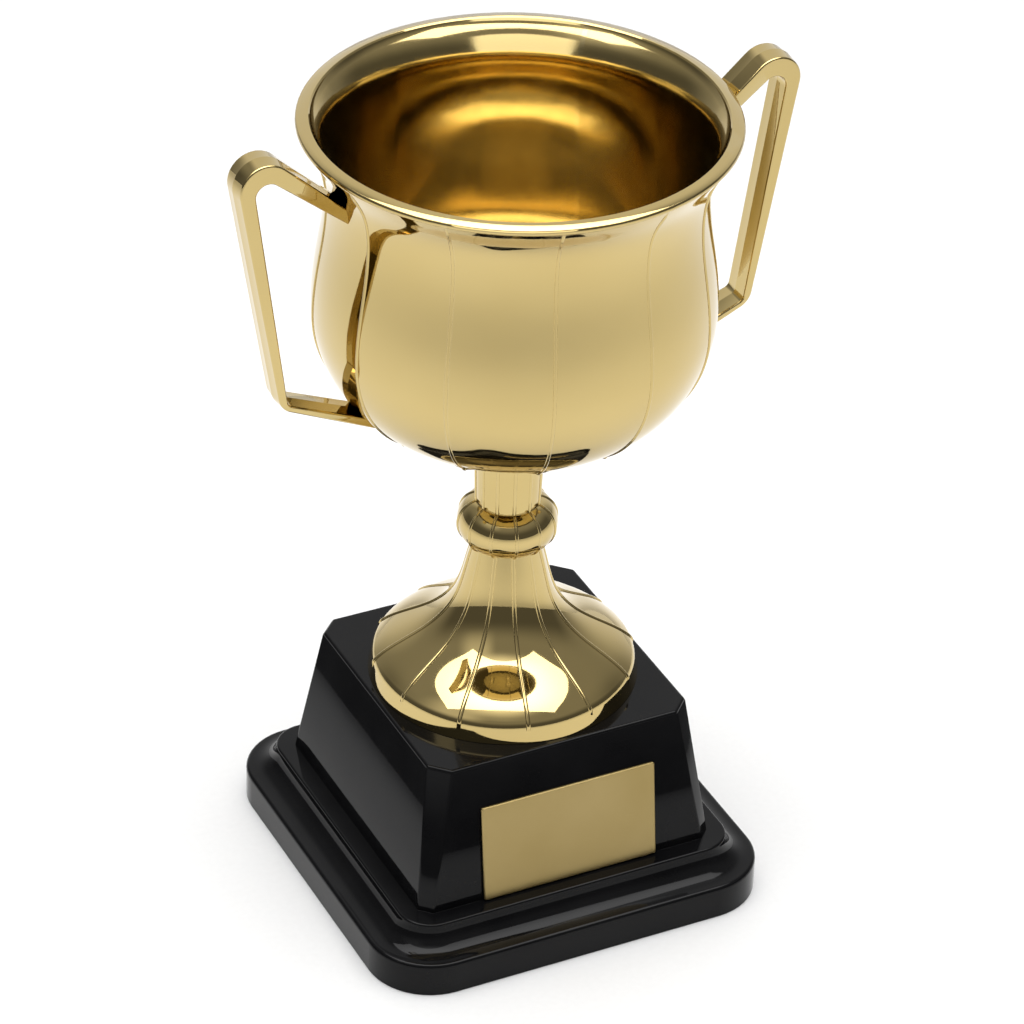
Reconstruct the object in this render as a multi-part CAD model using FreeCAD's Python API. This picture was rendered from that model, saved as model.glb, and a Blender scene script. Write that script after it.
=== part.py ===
import FreeCAD, Part
import math
import os

# Two-handled cup trophy on a two-tier black plinth.
# Millimetres, +Z up, origin at the bottom centre of the plinth.
# The plaque faces -Y and the handles stand out along +X and -X.

Vec = FreeCAD.Vector
Z_AXIS = Vec(0, 0, 1)

# Plinth, outside. Offsets are measured inwards from the outer side.
PLINTH_SIDE = 100.0
PLINTH_CORNER_R = 15.5
SHOULDER_Z = 8.7
SHOULDER_R = 1.0
LEDGE_Z = 14.8
LEDGE_SIDE = 85.2
LEDGE_EDGE_R = 0.6
TIER_FOOT_SIDE = 76.2
TIER_TOP_SIDE = 67.1
TIER_TOP_Z = 50.9
TIER_FOOT_CHAMFER = 2.8
TIER_TOP_CHAMFER = 4.4
TIER_CORNER_R = 1.0
TIER_TOP_EDGE_R = 0.8

# Plinth, inside
PLINTH_WALL = 2.5
PLINTH_LOW_WALL = 3.0
PLINTH_WEB_T = 2.0
PLINTH_BOSS_R = 7.5
PAD_T = 1.2
PAD_RIM = 1.6
PAD_GAP = 0.2

# Plaque on the sloped front face
PLAQUE_W = 45.0
PLAQUE_H = 24.9
PLAQUE_T = 0.8
PLAQUE_CORNER_R = 0.5
PLAQUE_BEVEL = 0.25
PLAQUE_LIFT = 0.2
TAPE_T = 0.3
TAPE_MARGIN = 1.0

# Foot: a hollow flared cone standing on the plinth. Its skirt leans in to a rounded
# shoulder, then a short straight collar leads into an S-shaped flare.
FOOT_SKIRT_R = 32.0
FOOT_SHOULDER_R = 31.0
FOOT_SHOULDER_Z = 55.6
FOOT_SHOULDER_ROUND = 3.0
FOOT_COLLAR = (29.7, 56.8)
FOOT_TOP_R = 8.0
FOOT_TOP_Z = 86.8
FOOT_CURVE = [(25.6, 59.8), (20.7, 62.8), (17.5, 65.1), (12.4, 71.3), (9.6, 80.2)]
FOOT_WALL = 1.8
FOOT_LIFT = 0.5
FOOT_BOSS_R = 6.0

# Stem: a round knop with a neck above it
KNOP_R = 11.75
KNOP_Z = 93.0
NECK_FOOT_Z = 98.3
NECK_FOOT_R = 7.6
NECK_TOP_R = 8.15
KEY_SIDE = 8.6
KEY_H = 2.0

# Bowl. The belly is a round arc, the waist and flare above it one smooth curve.
BOWL_FLOOR_Z = 121.0
BELLY_ARC_X = 15.0
BELLY_ARC_R = 31.0
WAIST_CURVE = [(45.25, 162.0), (43.1, 180.0), (44.7, 190.0), (48.7, 197.0)]
BOWL_WALL = 1.6
BOWL_BOSS_R = 5.0
BOWL_BOSS_H = 11.0
THROAT_CURVE = [(44.3, 195.0), (42.2, 188.0), (41.5, 180.0), (43.65, 162.0)]
LIP_OUTER_R = 49.6
LIP_OUTER_Z = 198.0
LIP_INNER_R = 46.3
LIP_TOP_Z = 199.2
LIP_STEP = 0.35

# Raised lines on the bowl, stem and foot
RIB_COUNT = 12
RIB_FIRST_DEG = 15.0
RIB_W = 0.8
RIB_H = 0.3
RIB_SINK = 0.4
BOWL_RIB_INNER_R = 32.0
RIB_BALL_R = 0.9
RIB_BALL_SINK = 0.25
FOOT_RIB_W = 1.0
FOOT_RIB_H = 0.45
FOOT_RIB_LOW_Z = 53.6

# Handles, drawn in the XZ plane. Each bar edge is (x, z, dx, dz).
HANDLE_DEPTH = 7.8
HANDLE_RIDGE = 0.15
HANDLE_TOP_OUTER = (62.0, 204.4, 1.0, 0.90)
HANDLE_TOP_INNER = (62.0, 198.3, 1.0, 0.80)
HANDLE_SIDE_OUTER = (60.9, 150.0, 0.17, 1.0)
HANDLE_SIDE_INNER = (58.4, 150.0, 0.14, 1.0)
HANDLE_LOW_OUTER = (62.0, 140.6, 1.0, 0.46)
HANDLE_LOW_INNER = (62.0, 142.4, 1.0, 0.42)
HANDLE_TOP_OUTER_R = 6.4
HANDLE_TOP_INNER_R = 2.8
HANDLE_LOW_OUTER_R = 5.0
HANDLE_LOW_INNER_R = 1.5
HANDLE_EDGE_R = 0.45
HANDLE_ROOT_X = 36.0
PEG_R = 0.7
PEG_DEPTH = 0.8
PEG_REACH = 1.5
SOCKET_GAP = 0.05

# Tie rod, insert, washer and nut (M6)
ROD_R = 3.0
ROD_HOLE_R = 3.3
ROD_LOW_Z = 5.0
ROD_IN_INSERT = 8.0
THREAD_GAP = 0.05
INSERT_R = 3.9
INSERT_H = 9.0
INSERT_GROOVE_H = 1.0
INSERT_GROOVE_DEPTH = 0.3
BASE_WASHER_R = 12.0
WASHER_T = 1.6
WASHER_HOLE_R = 3.2
NUT_FLATS = 10.0
NUT_H = 5.0
WEIGHT_SIDE = 56.0
WEIGHT_H = 16.0
WEIGHT_LOW_Z = 14.0
WEIGHT_CORNER_R = 4.0

# Derived sizes
LEDGE_INSET = (PLINTH_SIDE - LEDGE_SIDE) / 2
TIER_SLOPE_RUN = (TIER_FOOT_SIDE - TIER_TOP_SIDE) / 2
TIER_SLOPE_RISE = TIER_TOP_Z - LEDGE_Z
TIER_TILT_DEG = math.degrees(math.atan2(TIER_SLOPE_RUN, TIER_SLOPE_RISE))
WEIGHT_TOP_Z = WEIGHT_LOW_Z + WEIGHT_H
BOWL_BOSS_LOW_Z = BOWL_FLOOR_Z - BOWL_BOSS_H
INSERT_TOP_Z = BOWL_BOSS_LOW_Z + INSERT_H
ROD_TOP_Z = BOWL_BOSS_LOW_Z + ROD_IN_INSERT


def point(r, z):
    """A point of an outline in the XZ plane."""
    return Vec(r, 0, z)


def line(a, b):
    return Part.makeLine(point(*a), point(*b))


def arc(a, through, b):
    return Part.Arc(point(*a), point(*through), point(*b)).toShape()


def smooth(points, start_tangent=None):
    """One smooth curve through the given (r, z) points."""
    curve = Part.BSplineCurve()
    knots = [point(*p) for p in points]
    if start_tangent is None:
        curve.interpolate(knots)
    else:
        end_tangent = knots[-1] - knots[-2]
        start = point(*start_tangent)
        curve.interpolate(Points=knots, InitialTangent=start, FinalTangent=end_tangent)
    return curve.toShape()


def on_circle(centre, radius, degrees):
    turn = math.radians(degrees)
    return (centre[0] + radius * math.cos(turn), centre[1] + radius * math.sin(turn))


def turned(edges):
    """The solid made by turning a closed outline about the Z axis."""
    face = Part.Face(Part.Wire(edges))
    return face.revolve(Vec(0, 0, 0), Z_AXIS, 360)


def cylinder(radius, low, high):
    return Part.makeCylinder(radius, high - low, Vec(0, 0, low))


def square_bar(side, low, high, corner=0.0):
    """An upright square prism about the Z axis, with its upright edges rounded if asked."""
    bar = Part.makeBox(side, side, high - low, Vec(-side / 2, -side / 2, low))
    if corner > 0:
        upright = [edge for edge in bar.Edges if abs(edge.BoundBox.ZLength - (high - low)) < 1e-6]
        bar = bar.makeFillet(corner, upright)
    return bar


def ring_of_ribs(outer_solid, inner_solid, width):
    """Thin radial slabs kept only between two solids of revolution."""
    skin = outer_solid.cut(inner_solid)
    slab = Part.makeBox(2 * PLINTH_SIDE, width, 3 * PLINTH_SIDE, Vec(0, -width / 2, 0))
    ribs = []
    for index in range(RIB_COUNT):
        degrees = RIB_FIRST_DEG + index * 360.0 / RIB_COUNT
        turned_slab = slab.rotated(Vec(0, 0, 0), Z_AXIS, degrees)
        ribs.append(skin.common(turned_slab))
    return ribs


# ---- bowl -------------------------------------------------------------------------------


def belly_point(shift, degrees):
    centre = (BELLY_ARC_X, BOWL_FLOOR_Z + BELLY_ARC_R)
    return on_circle(centre, BELLY_ARC_R + shift, degrees)


def bowl_side(shift):
    """Edges of the bowl's side from the floor to under the lip, moved outwards by shift."""
    low = belly_point(shift, -90)
    widest = belly_point(shift, 0)
    flare = [widest] + [(r + shift, z) for r, z in WAIST_CURVE]
    return low, flare[-1], [arc(low, belly_point(shift, -40), widest), smooth(flare, (0, 1))]


def bowl_outer_solid(shift):
    """The bowl's outside below the lip as one solid, moved outwards by shift."""
    low, top, side = bowl_side(shift)
    lid = [line(top, (0, top[1])), line((0, top[1]), (0, low[1]))]
    return turned([line((0, low[1]), low)] + side + lid)


def bowl_shell():
    """The thin bowl with its rolled lip, before sockets and ribs."""
    outer_low, outer_top, outer_side = bowl_side(0.0)
    inner_low = belly_point(-BOWL_WALL, -90)
    inner_widest = belly_point(-BOWL_WALL, 0)
    bead_top = (LIP_OUTER_R - LIP_STEP, LIP_OUTER_Z + 2 * LIP_STEP)
    crown = (LIP_INNER_R + LIP_STEP, LIP_TOP_Z)
    inner_edge = (LIP_INNER_R, LIP_TOP_Z - LIP_STEP)
    inner_join = (LIP_INNER_R - LIP_STEP, inner_edge[1] - 2 * LIP_STEP)
    bead_low = (LIP_OUTER_R - LIP_STEP, LIP_OUTER_Z - 2 * LIP_STEP)
    lip = [
        line(outer_top, bead_low),
        arc(bead_low, (LIP_OUTER_R, LIP_OUTER_Z), bead_top),
        line(bead_top, crown),
        line(crown, inner_edge),
        line(inner_edge, inner_join),
    ]
    throat = [smooth([inner_join] + THROAT_CURVE + [inner_widest])]
    belly = [arc(inner_widest, belly_point(-BOWL_WALL, -40), inner_low)]
    floor = [
        line(inner_low, (0, inner_low[1])),
        line((0, inner_low[1]), (0, outer_low[1])),
        line((0, outer_low[1]), outer_low),
    ]
    return turned(outer_side + lip + throat + belly + floor)


def handle_bars(grow):
    """Corner points of the handle outline, with every edge moved outwards by grow."""
    top_outer = moved(HANDLE_TOP_OUTER, grow)
    top_inner = moved(HANDLE_TOP_INNER, -grow)
    side_outer = moved(HANDLE_SIDE_OUTER, -grow)
    side_inner = moved(HANDLE_SIDE_INNER, grow)
    low_outer = moved(HANDLE_LOW_OUTER, -grow)
    low_inner = moved(HANDLE_LOW_INNER, grow)
    return [
        at_x(top_outer, HANDLE_ROOT_X),
        crossing(top_outer, side_outer),
        crossing(side_outer, low_outer),
        at_x(low_outer, HANDLE_ROOT_X),
        at_x(low_inner, HANDLE_ROOT_X),
        crossing(side_inner, low_inner),
        crossing(top_inner, side_inner),
        at_x(top_inner, HANDLE_ROOT_X),
    ]


def moved(edge, distance):
    """A bar edge moved sideways, to the left of its direction."""
    x, z, dx, dz = edge
    length = math.hypot(dx, dz)
    return (x - dz / length * distance, z + dx / length * distance, dx, dz)


def at_x(edge, x):
    return (x, edge[1] + (x - edge[0]) * edge[3] / edge[2])


def crossing(first, second):
    """Where two bar edges meet."""
    det = first[2] * second[3] - first[3] * second[2]
    along = ((second[0] - first[0]) * second[3] - (second[1] - first[1]) * second[2]) / det
    return (first[0] + along * first[2], first[1] + along * first[3])


def rounded_outline(corners, radii, y):
    """A closed outline in the plane Y = y whose corners are rounded by the given radii."""
    starts = []
    ends = []
    middles = []
    count = len(corners)
    for index, corner in enumerate(corners):
        here = Vec(corner[0], y, corner[1])
        before = Vec(corners[index - 1][0], y, corners[index - 1][1]) - here
        after = Vec(corners[(index + 1) % count][0], y, corners[(index + 1) % count][1]) - here
        before.normalize()
        after.normalize()
        radius = radii[index]
        half_angle = before.getAngle(after) / 2
        reach = radius / math.tan(half_angle)
        bisector = before + after
        bisector.normalize()
        centre = here + bisector * (radius / math.sin(half_angle))
        starts.append(here + before * reach)
        ends.append(here + after * reach)
        middles.append(centre - bisector * radius)
    edges = []
    for index in range(count):
        if radii[index] > 0:
            edges.append(Part.Arc(starts[index], middles[index], ends[index]).toShape())
        edges.append(Part.makeLine(ends[index], starts[(index + 1) % count]))
    return Part.Wire(edges)


def handle_blank():
    """The bent strap before its ends are cut to the bowl: a middle ridge and two drafted sides."""
    half_depth = HANDLE_DEPTH / 2
    wires = []
    for y, grow in ((-half_depth, -HANDLE_RIDGE), (0.0, HANDLE_RIDGE), (half_depth, -HANDLE_RIDGE)):
        radii = [
            0.0,
            HANDLE_TOP_OUTER_R + grow,
            HANDLE_LOW_OUTER_R + grow,
            0.0,
            0.0,
            HANDLE_LOW_INNER_R - grow,
            HANDLE_TOP_INNER_R - grow,
            0.0,
        ]
        wires.append(rounded_outline(handle_bars(grow), radii, y))
    strap = Part.makeLoft(wires, True, True)
    rim = [edge for edge in strap.Edges if edge.BoundBox.YLength < 1e-6 and abs(edge.CenterOfMass.y) > 1]
    return strap.makeFillet(HANDLE_EDGE_R, rim)


def bar_middle(outer, inner, x):
    """The point halfway between the two edges of a bar."""
    return (x, (at_x(outer, x)[1] + at_x(inner, x)[1]) / 2)


def peg_axes():
    """Foot point and outward direction of the two pegs of a right-hand handle."""
    axes = []
    for outer, inner in ((HANDLE_TOP_OUTER, HANDLE_TOP_INNER), (HANDLE_LOW_OUTER, HANDLE_LOW_INNER)):
        x = wall_radius_on_bar(outer, inner)
        foot = bar_middle(outer, inner, x)
        tip = bar_middle(outer, inner, x + 1.0)
        direction = Vec(1.0, 0, tip[1] - foot[1])
        direction.normalize()
        axes.append((point(*foot), direction))
    return axes


def wall_radius_on_bar(outer, inner):
    """The x at which the middle line of a bar meets the outside of the bowl."""
    start = point(*bar_middle(outer, inner, HANDLE_ROOT_X))
    end = point(*bar_middle(outer, inner, LIP_OUTER_R))
    middle = Part.makeLine(start, end)
    outside = middle.cut(bowl_outer_solid(0.0))
    return outside.BoundBox.XMin


def pegs(radius, depth):
    """Two round pegs that reach depth into the wall and PEG_REACH into the handle."""
    made = []
    for foot, direction in peg_axes():
        base = foot - direction * depth
        made.append(Part.makeCylinder(radius, depth + PEG_REACH, base, direction))
    return made


def on_both_sides(shape):
    return [shape, shape.rotated(Vec(0, 0, 0), Z_AXIS, 180)]


def bowl():
    boss = cylinder(BOWL_BOSS_R, BOWL_BOSS_LOW_Z, BOWL_FLOOR_Z + BOWL_WALL / 2)
    shell = bowl_shell().fuse(boss).cut(insert_outside())
    ribs = ring_of_ribs(bowl_outer_solid(RIB_H), bowl_outer_solid(-RIB_SINK), RIB_W)
    core = cylinder(BOWL_RIB_INNER_R, 0, LIP_TOP_Z)
    ribs = [rib.cut(core) for rib in ribs]
    drop = math.acos((BOWL_RIB_INNER_R - BELLY_ARC_X) / BELLY_ARC_R)
    ball_centre = belly_point(-RIB_BALL_SINK, -math.degrees(drop))
    ball = Part.makeSphere(RIB_BALL_R, point(*ball_centre))
    inside = bowl_outer_solid(-RIB_SINK)
    bumps = []
    for index in range(RIB_COUNT):
        degrees = RIB_FIRST_DEG + index * 360.0 / RIB_COUNT
        bumps.append(ball.rotated(Vec(0, 0, 0), Z_AXIS, degrees).cut(inside))
    shell = shell.fuse(ribs + bumps)
    for socket in pegs(PEG_R + SOCKET_GAP, PEG_DEPTH + SOCKET_GAP):
        shell = shell.cut(on_both_sides(socket))
    return shell


def handle_right():
    return handle_blank().cut(bowl_outer_solid(0.0)).fuse(pegs(PEG_R, PEG_DEPTH))


def handle_left():
    return handle_right().rotated(Vec(0, 0, 0), Z_AXIS, 180)


# ---- stem and foot ----------------------------------------------------------------------


def stem_outside(shift):
    """Outline points of the knop and neck, moved outwards by shift."""
    low = (FOOT_TOP_R + shift, FOOT_TOP_Z)
    high = (NECK_FOOT_R + shift, NECK_FOOT_Z)
    knop = arc(low, (KNOP_R + shift, KNOP_Z), high)
    neck_top = (NECK_TOP_R + shift, BOWL_FLOOR_Z)
    neck = line(high, neck_top)
    return turned(
        [
            knop,
            neck,
            line(neck_top, (0, BOWL_FLOOR_Z)),
            line((0, BOWL_FLOOR_Z), (0, FOOT_TOP_Z)),
            line((0, FOOT_TOP_Z), low),
        ]
    )


def stem():
    body = stem_outside(0.0)
    body = body.fuse(ring_of_ribs(stem_outside(RIB_H), stem_outside(-RIB_SINK), RIB_W))
    socket_low = BOWL_BOSS_LOW_Z - PAD_GAP
    body = body.cut(cylinder(BOWL_BOSS_R + SOCKET_GAP, socket_low, BOWL_FLOOR_Z))
    key_hole = square_bar(KEY_SIDE + 2 * SOCKET_GAP, FOOT_TOP_Z, FOOT_TOP_Z + KEY_H + PAD_GAP)
    body = body.cut(key_hole)
    return body.cut(cylinder(ROD_HOLE_R, 0, LIP_TOP_Z))


def foot_outside(shift):
    """The foot's outside as a solid, moved outwards along its normal by about shift."""
    step = shift * math.sin(math.radians(45))
    low = (FOOT_SKIRT_R + shift, TIER_TOP_Z)
    outline = [(FOOT_SHOULDER_R, FOOT_SHOULDER_Z), FOOT_COLLAR] + FOOT_CURVE + [(FOOT_TOP_R, FOOT_TOP_Z)]
    shoulder, collar, *curve = [(r + step, z + step) for r, z in outline]
    top = curve[-1]
    along_collar = (collar[0] - shoulder[0], collar[1] - shoulder[1])
    body = turned(
        [
            line((0, TIER_TOP_Z), low),
            line(low, shoulder),
            line(shoulder, collar),
            smooth([collar] + curve, along_collar),
            line(top, (0, top[1])),
            line((0, top[1]), (0, TIER_TOP_Z)),
        ]
    )
    shoulder_edge = [
        edge
        for edge in body.Edges
        if edge.BoundBox.ZLength < 1e-4 and abs(edge.BoundBox.ZMin - shoulder[1]) < 1e-4
    ]
    return body.makeFillet(FOOT_SHOULDER_ROUND, shoulder_edge)


def foot_hollow():
    """The space under the foot, round the central boss."""
    wall = FOOT_WALL
    skirt_low = (FOOT_SKIRT_R - wall, TIER_TOP_Z)
    shoulder = (FOOT_SHOULDER_R - wall, FOOT_SHOULDER_Z - wall)
    curve = [shoulder] + [(r - wall, z - wall) for r, z in FOOT_CURVE[:3]]
    tip = (FOOT_BOSS_R + wall, FOOT_CURVE[3][1] - wall)
    space = turned(
        [
            line((0, TIER_TOP_Z), skirt_low),
            line(skirt_low, shoulder),
            smooth(curve + [tip]),
            line(tip, (0, tip[1])),
            line((0, tip[1]), (0, TIER_TOP_Z)),
        ]
    )
    return space.cut(cylinder(FOOT_BOSS_R, TIER_TOP_Z + FOOT_LIFT, FOOT_TOP_Z))


def foot():
    outside = foot_outside(0.0).common(cylinder(PLINTH_SIDE, 0, FOOT_TOP_Z))
    ribs = ring_of_ribs(foot_outside(FOOT_RIB_H), foot_outside(-RIB_SINK), FOOT_RIB_W)
    ends = cylinder(PLINTH_SIDE, FOOT_RIB_LOW_Z, FOOT_TOP_Z)
    body = outside.fuse([rib.common(ends) for rib in ribs])
    body = body.cut(foot_hollow())
    body = body.fuse(square_bar(KEY_SIDE, FOOT_TOP_Z - 1.0, FOOT_TOP_Z + KEY_H))
    return body.cut(cylinder(ROD_HOLE_R, 0, LIP_TOP_Z))


# ---- plinth -----------------------------------------------------------------------------


def rounded_tier(side, corner, outline):
    """A rounded square slab whose edge follows outline, a list of edges in (x, z).

    The outline runs from the centre plane x = 0 out to the edge of a corner, x = corner.
    """
    straight = side / 2 - corner
    face = Part.Face(Part.Wire(outline))
    turn = face.revolve(Vec(0, 0, 0), Z_AXIS, 90).translated(Vec(straight, straight, 0))
    run = face.extrude(Vec(0, 2 * straight, 0)).translated(Vec(straight, -straight, 0))
    height = face.BoundBox.ZLength
    low = face.BoundBox.ZMin
    body = Part.makeBox(2 * straight, 2 * straight, height, Vec(-straight, -straight, low))
    pieces = []
    for quarter in range(4):
        pieces.append(turn.rotated(Vec(0, 0, 0), Z_AXIS, 90 * quarter))
        pieces.append(run.rotated(Vec(0, 0, 0), Z_AXIS, 90 * quarter))
    return body.fuse(pieces).removeSplitter()


def ellipse_quarter(centre, reach, rise):
    """The lower left quarter of an upright ellipse in the XZ plane."""
    low = centre[1] - rise
    middle_x = centre[0] - reach * math.sin(math.radians(45))
    middle_z = centre[1] - rise * math.sin(math.radians(45))
    curve = Part.BSplineCurve()
    curve.interpolate(
        Points=[point(centre[0], low), point(middle_x, middle_z), point(centre[0] - reach, centre[1])],
        InitialTangent=Vec(-1, 0, 0),
        FinalTangent=Vec(0, 0, 1),
    )
    return curve.toShape()


def low_tier():
    """The lower tier: upright side, round shoulder, hollow cove and a narrow round ledge edge."""
    edge_x = PLINTH_CORNER_R
    ledge_x = edge_x - LEDGE_INSET
    diagonal = math.sin(math.radians(45))
    shoulder_low = (edge_x, SHOULDER_Z - SHOULDER_R)
    shoulder_centre = (edge_x - SHOULDER_R, SHOULDER_Z - SHOULDER_R)
    shoulder_mid = (
        shoulder_centre[0] + SHOULDER_R * diagonal,
        shoulder_centre[1] + SHOULDER_R * diagonal,
    )
    cove_low = (edge_x - SHOULDER_R, SHOULDER_Z)
    cove_top = (ledge_x, LEDGE_Z - LEDGE_EDGE_R)
    ledge_mid = (
        ledge_x - LEDGE_EDGE_R * (1 - diagonal),
        LEDGE_Z - LEDGE_EDGE_R * (1 - diagonal),
    )
    ledge_flat = (ledge_x - LEDGE_EDGE_R, LEDGE_Z)
    outline = [
        line((0, 0), (edge_x, 0)),
        line((edge_x, 0), shoulder_low),
        arc(shoulder_low, shoulder_mid, cove_low),
        ellipse_quarter((cove_low[0], cove_top[1]), cove_low[0] - cove_top[0], cove_top[1] - cove_low[1]),
        arc(cove_top, ledge_mid, ledge_flat),
        line(ledge_flat, (0, LEDGE_Z)),
        line((0, LEDGE_Z), (0, 0)),
    ]
    return rounded_tier(PLINTH_SIDE, PLINTH_CORNER_R, outline)


def chamfered_square(side, chamfer, z):
    """A square outline with its corners cut off."""
    half = side / 2
    corners = []
    for quarter in range(4):
        turn = FreeCAD.Rotation(Z_AXIS, 90 * quarter)
        corners.append(turn.multVec(Vec(half, -half + chamfer, z)))
        corners.append(turn.multVec(Vec(half, half - chamfer, z)))
    corners.append(corners[0])
    return Part.makePolygon(corners)


def high_tier():
    """The upper tier: a truncated pyramid with chamfered, softened corners."""
    foot_wire = chamfered_square(TIER_FOOT_SIDE, TIER_FOOT_CHAMFER, LEDGE_Z)
    top_wire = chamfered_square(TIER_TOP_SIDE, TIER_TOP_CHAMFER, TIER_TOP_Z)
    tier = Part.makeLoft([foot_wire, top_wire], True, True)
    upright = [edge for edge in tier.Edges if edge.BoundBox.ZLength > 1]
    tier = tier.makeFillet(TIER_CORNER_R, upright)
    top = [edge for edge in tier.Edges if edge.BoundBox.ZMin > TIER_TOP_Z - 1e-6]
    return tier.makeFillet(TIER_TOP_EDGE_R, top)


def plinth_hollow():
    """The space inside both tiers, open underneath."""
    ledge_low_z = LEDGE_Z - PLINTH_WALL
    low_x = PLINTH_CORNER_R - PLINTH_LOW_WALL
    high_x = low_x - LEDGE_INSET + 1.0
    bend_z = SHOULDER_Z - PLINTH_WALL
    outline = [
        line((0, 0), (low_x, 0)),
        line((low_x, 0), (low_x, bend_z)),
        line((low_x, bend_z), (high_x, ledge_low_z)),
        line((high_x, ledge_low_z), (0, ledge_low_z)),
        line((0, ledge_low_z), (0, 0)),
    ]
    low_space = rounded_tier(PLINTH_SIDE, PLINTH_CORNER_R, outline)
    slope = TIER_SLOPE_RUN / TIER_SLOPE_RISE
    side_low = TIER_FOOT_SIDE - 2 * PLINTH_WALL
    side_high = TIER_TOP_SIDE - 2 * PLINTH_WALL + 2 * slope * PLINTH_WALL
    foot_wire = chamfered_square(side_low, TIER_FOOT_CHAMFER, ledge_low_z - 1.0)
    top_wire = chamfered_square(side_high, TIER_TOP_CHAMFER, TIER_TOP_Z - PLINTH_WALL)
    high_space = Part.makeLoft([foot_wire, top_wire], True, True)
    return low_space.fuse(high_space)


def plinth_shell():
    body = low_tier().fuse(high_tier())
    hollow = plinth_hollow()
    boss = cylinder(PLINTH_BOSS_R, WEIGHT_TOP_Z, TIER_TOP_Z)
    web_size = (TIER_FOOT_SIDE, PLINTH_WEB_T, TIER_TOP_Z - WEIGHT_TOP_Z)
    web_corner = Vec(-TIER_FOOT_SIDE / 2, -PLINTH_WEB_T / 2, WEIGHT_TOP_Z)
    web = Part.makeBox(*web_size, web_corner)
    cross = boss.fuse([web, web.rotated(Vec(0, 0, 0), Z_AXIS, 90)])
    body = body.cut(hollow.cut(cross))
    body = body.cut(square_bar(PLINTH_SIDE - 2 * PAD_RIM, 0, PAD_T, PLINTH_CORNER_R - PAD_RIM))
    return body.cut(cylinder(ROD_HOLE_R, 0, TIER_TOP_Z)).removeSplitter()


def plinth_weight():
    block = square_bar(WEIGHT_SIDE, WEIGHT_LOW_Z, WEIGHT_TOP_Z, WEIGHT_CORNER_R)
    return block.cut(cylinder(ROD_HOLE_R, WEIGHT_LOW_Z, WEIGHT_TOP_Z))


def base_pad():
    side = PLINTH_SIDE - 2 * (PAD_RIM + PAD_GAP)
    return square_bar(side, 0, PAD_T, PLINTH_CORNER_R - PAD_RIM - PAD_GAP)


# ---- plaque -----------------------------------------------------------------------------


def on_front_face(shape):
    """Stands a plate, drawn flat with its bottom edge on Y = 0, on the sloped front face."""
    stood = shape.rotated(Vec(0, 0, 0), Vec(1, 0, 0), 90 - TIER_TILT_DEG)
    return stood.translated(Vec(0, -TIER_FOOT_SIDE / 2, LEDGE_Z))


def flat_plate(width, low_y, high_y, low_z, high_z, corner):
    plate = Part.makeBox(width, high_y - low_y, high_z - low_z, Vec(-width / 2, low_y, low_z))
    upright = [edge for edge in plate.Edges if edge.BoundBox.ZLength > (high_z - low_z) / 2]
    return plate.makeFillet(corner, upright)


def plaque():
    top_y = PLAQUE_LIFT + PLAQUE_H
    plate = flat_plate(PLAQUE_W, PLAQUE_LIFT, top_y, TAPE_T, TAPE_T + PLAQUE_T, PLAQUE_CORNER_R)
    rim = [edge for edge in plate.Edges if edge.BoundBox.ZMin > TAPE_T + PLAQUE_T - 1e-6]
    return on_front_face(plate.makeChamfer(PLAQUE_BEVEL, rim))


def plaque_tape():
    low_y = PLAQUE_LIFT + TAPE_MARGIN
    high_y = PLAQUE_LIFT + PLAQUE_H - TAPE_MARGIN
    width = PLAQUE_W - 2 * TAPE_MARGIN
    return on_front_face(flat_plate(width, low_y, high_y, 0.0, TAPE_T, PLAQUE_CORNER_R))


# ---- fasteners --------------------------------------------------------------------------


def washer(radius, low):
    return cylinder(radius, low, low + WASHER_T).cut(cylinder(WASHER_HOLE_R, low, low + WASHER_T))


def hexagon(low, high):
    corner_r = NUT_FLATS / 2 / math.cos(math.radians(30))
    corners = []
    for index in range(7):
        x, y = on_circle((0, 0), corner_r, 60 * index)
        corners.append(Vec(x, y, low))
    return Part.Face(Part.makePolygon(corners)).extrude(Vec(0, 0, high - low))


def tie_rod():
    return cylinder(ROD_R, ROD_LOW_Z, ROD_TOP_Z)


def insert_outside():
    """The outside of the threaded bush moulded into the bowl's boss, grooved round its middle."""
    middle = (BOWL_BOSS_LOW_Z + INSERT_TOP_Z) / 2
    low = middle - INSERT_GROOVE_H / 2
    high = middle + INSERT_GROOVE_H / 2
    groove = cylinder(INSERT_R, low, high).cut(cylinder(INSERT_R - INSERT_GROOVE_DEPTH, low, high))
    return cylinder(INSERT_R, BOWL_BOSS_LOW_Z, INSERT_TOP_Z).cut(groove)


def bowl_insert():
    return insert_outside().cut(cylinder(ROD_R + THREAD_GAP, BOWL_BOSS_LOW_Z, INSERT_TOP_Z))


def base_washer():
    return washer(BASE_WASHER_R, WEIGHT_LOW_Z - WASHER_T)


def base_nut():
    top = WEIGHT_LOW_Z - WASHER_T
    return hexagon(top - NUT_H, top).cut(cylinder(ROD_R + THREAD_GAP, top - NUT_H, top))


PIECES = {
    "bowl": bowl,
    "handle_left": handle_left,
    "handle_right": handle_right,
    "stem": stem,
    "foot": foot,
    "tie_rod": tie_rod,
    "bowl_insert": bowl_insert,
    "plinth_shell": plinth_shell,
    "plinth_weight": plinth_weight,
    "base_washer": base_washer,
    "base_nut": base_nut,
    "base_pad": base_pad,
    "plaque": plaque,
    "plaque_tape": plaque_tape,
}

os.makedirs("parts", exist_ok=True)
for name, make in PIECES.items():
    make().exportStep(f"parts/{name}.step")
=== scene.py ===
import math

import bmesh
import bpy
import numpy as np
from mathutils import Matrix, Vector


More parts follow.
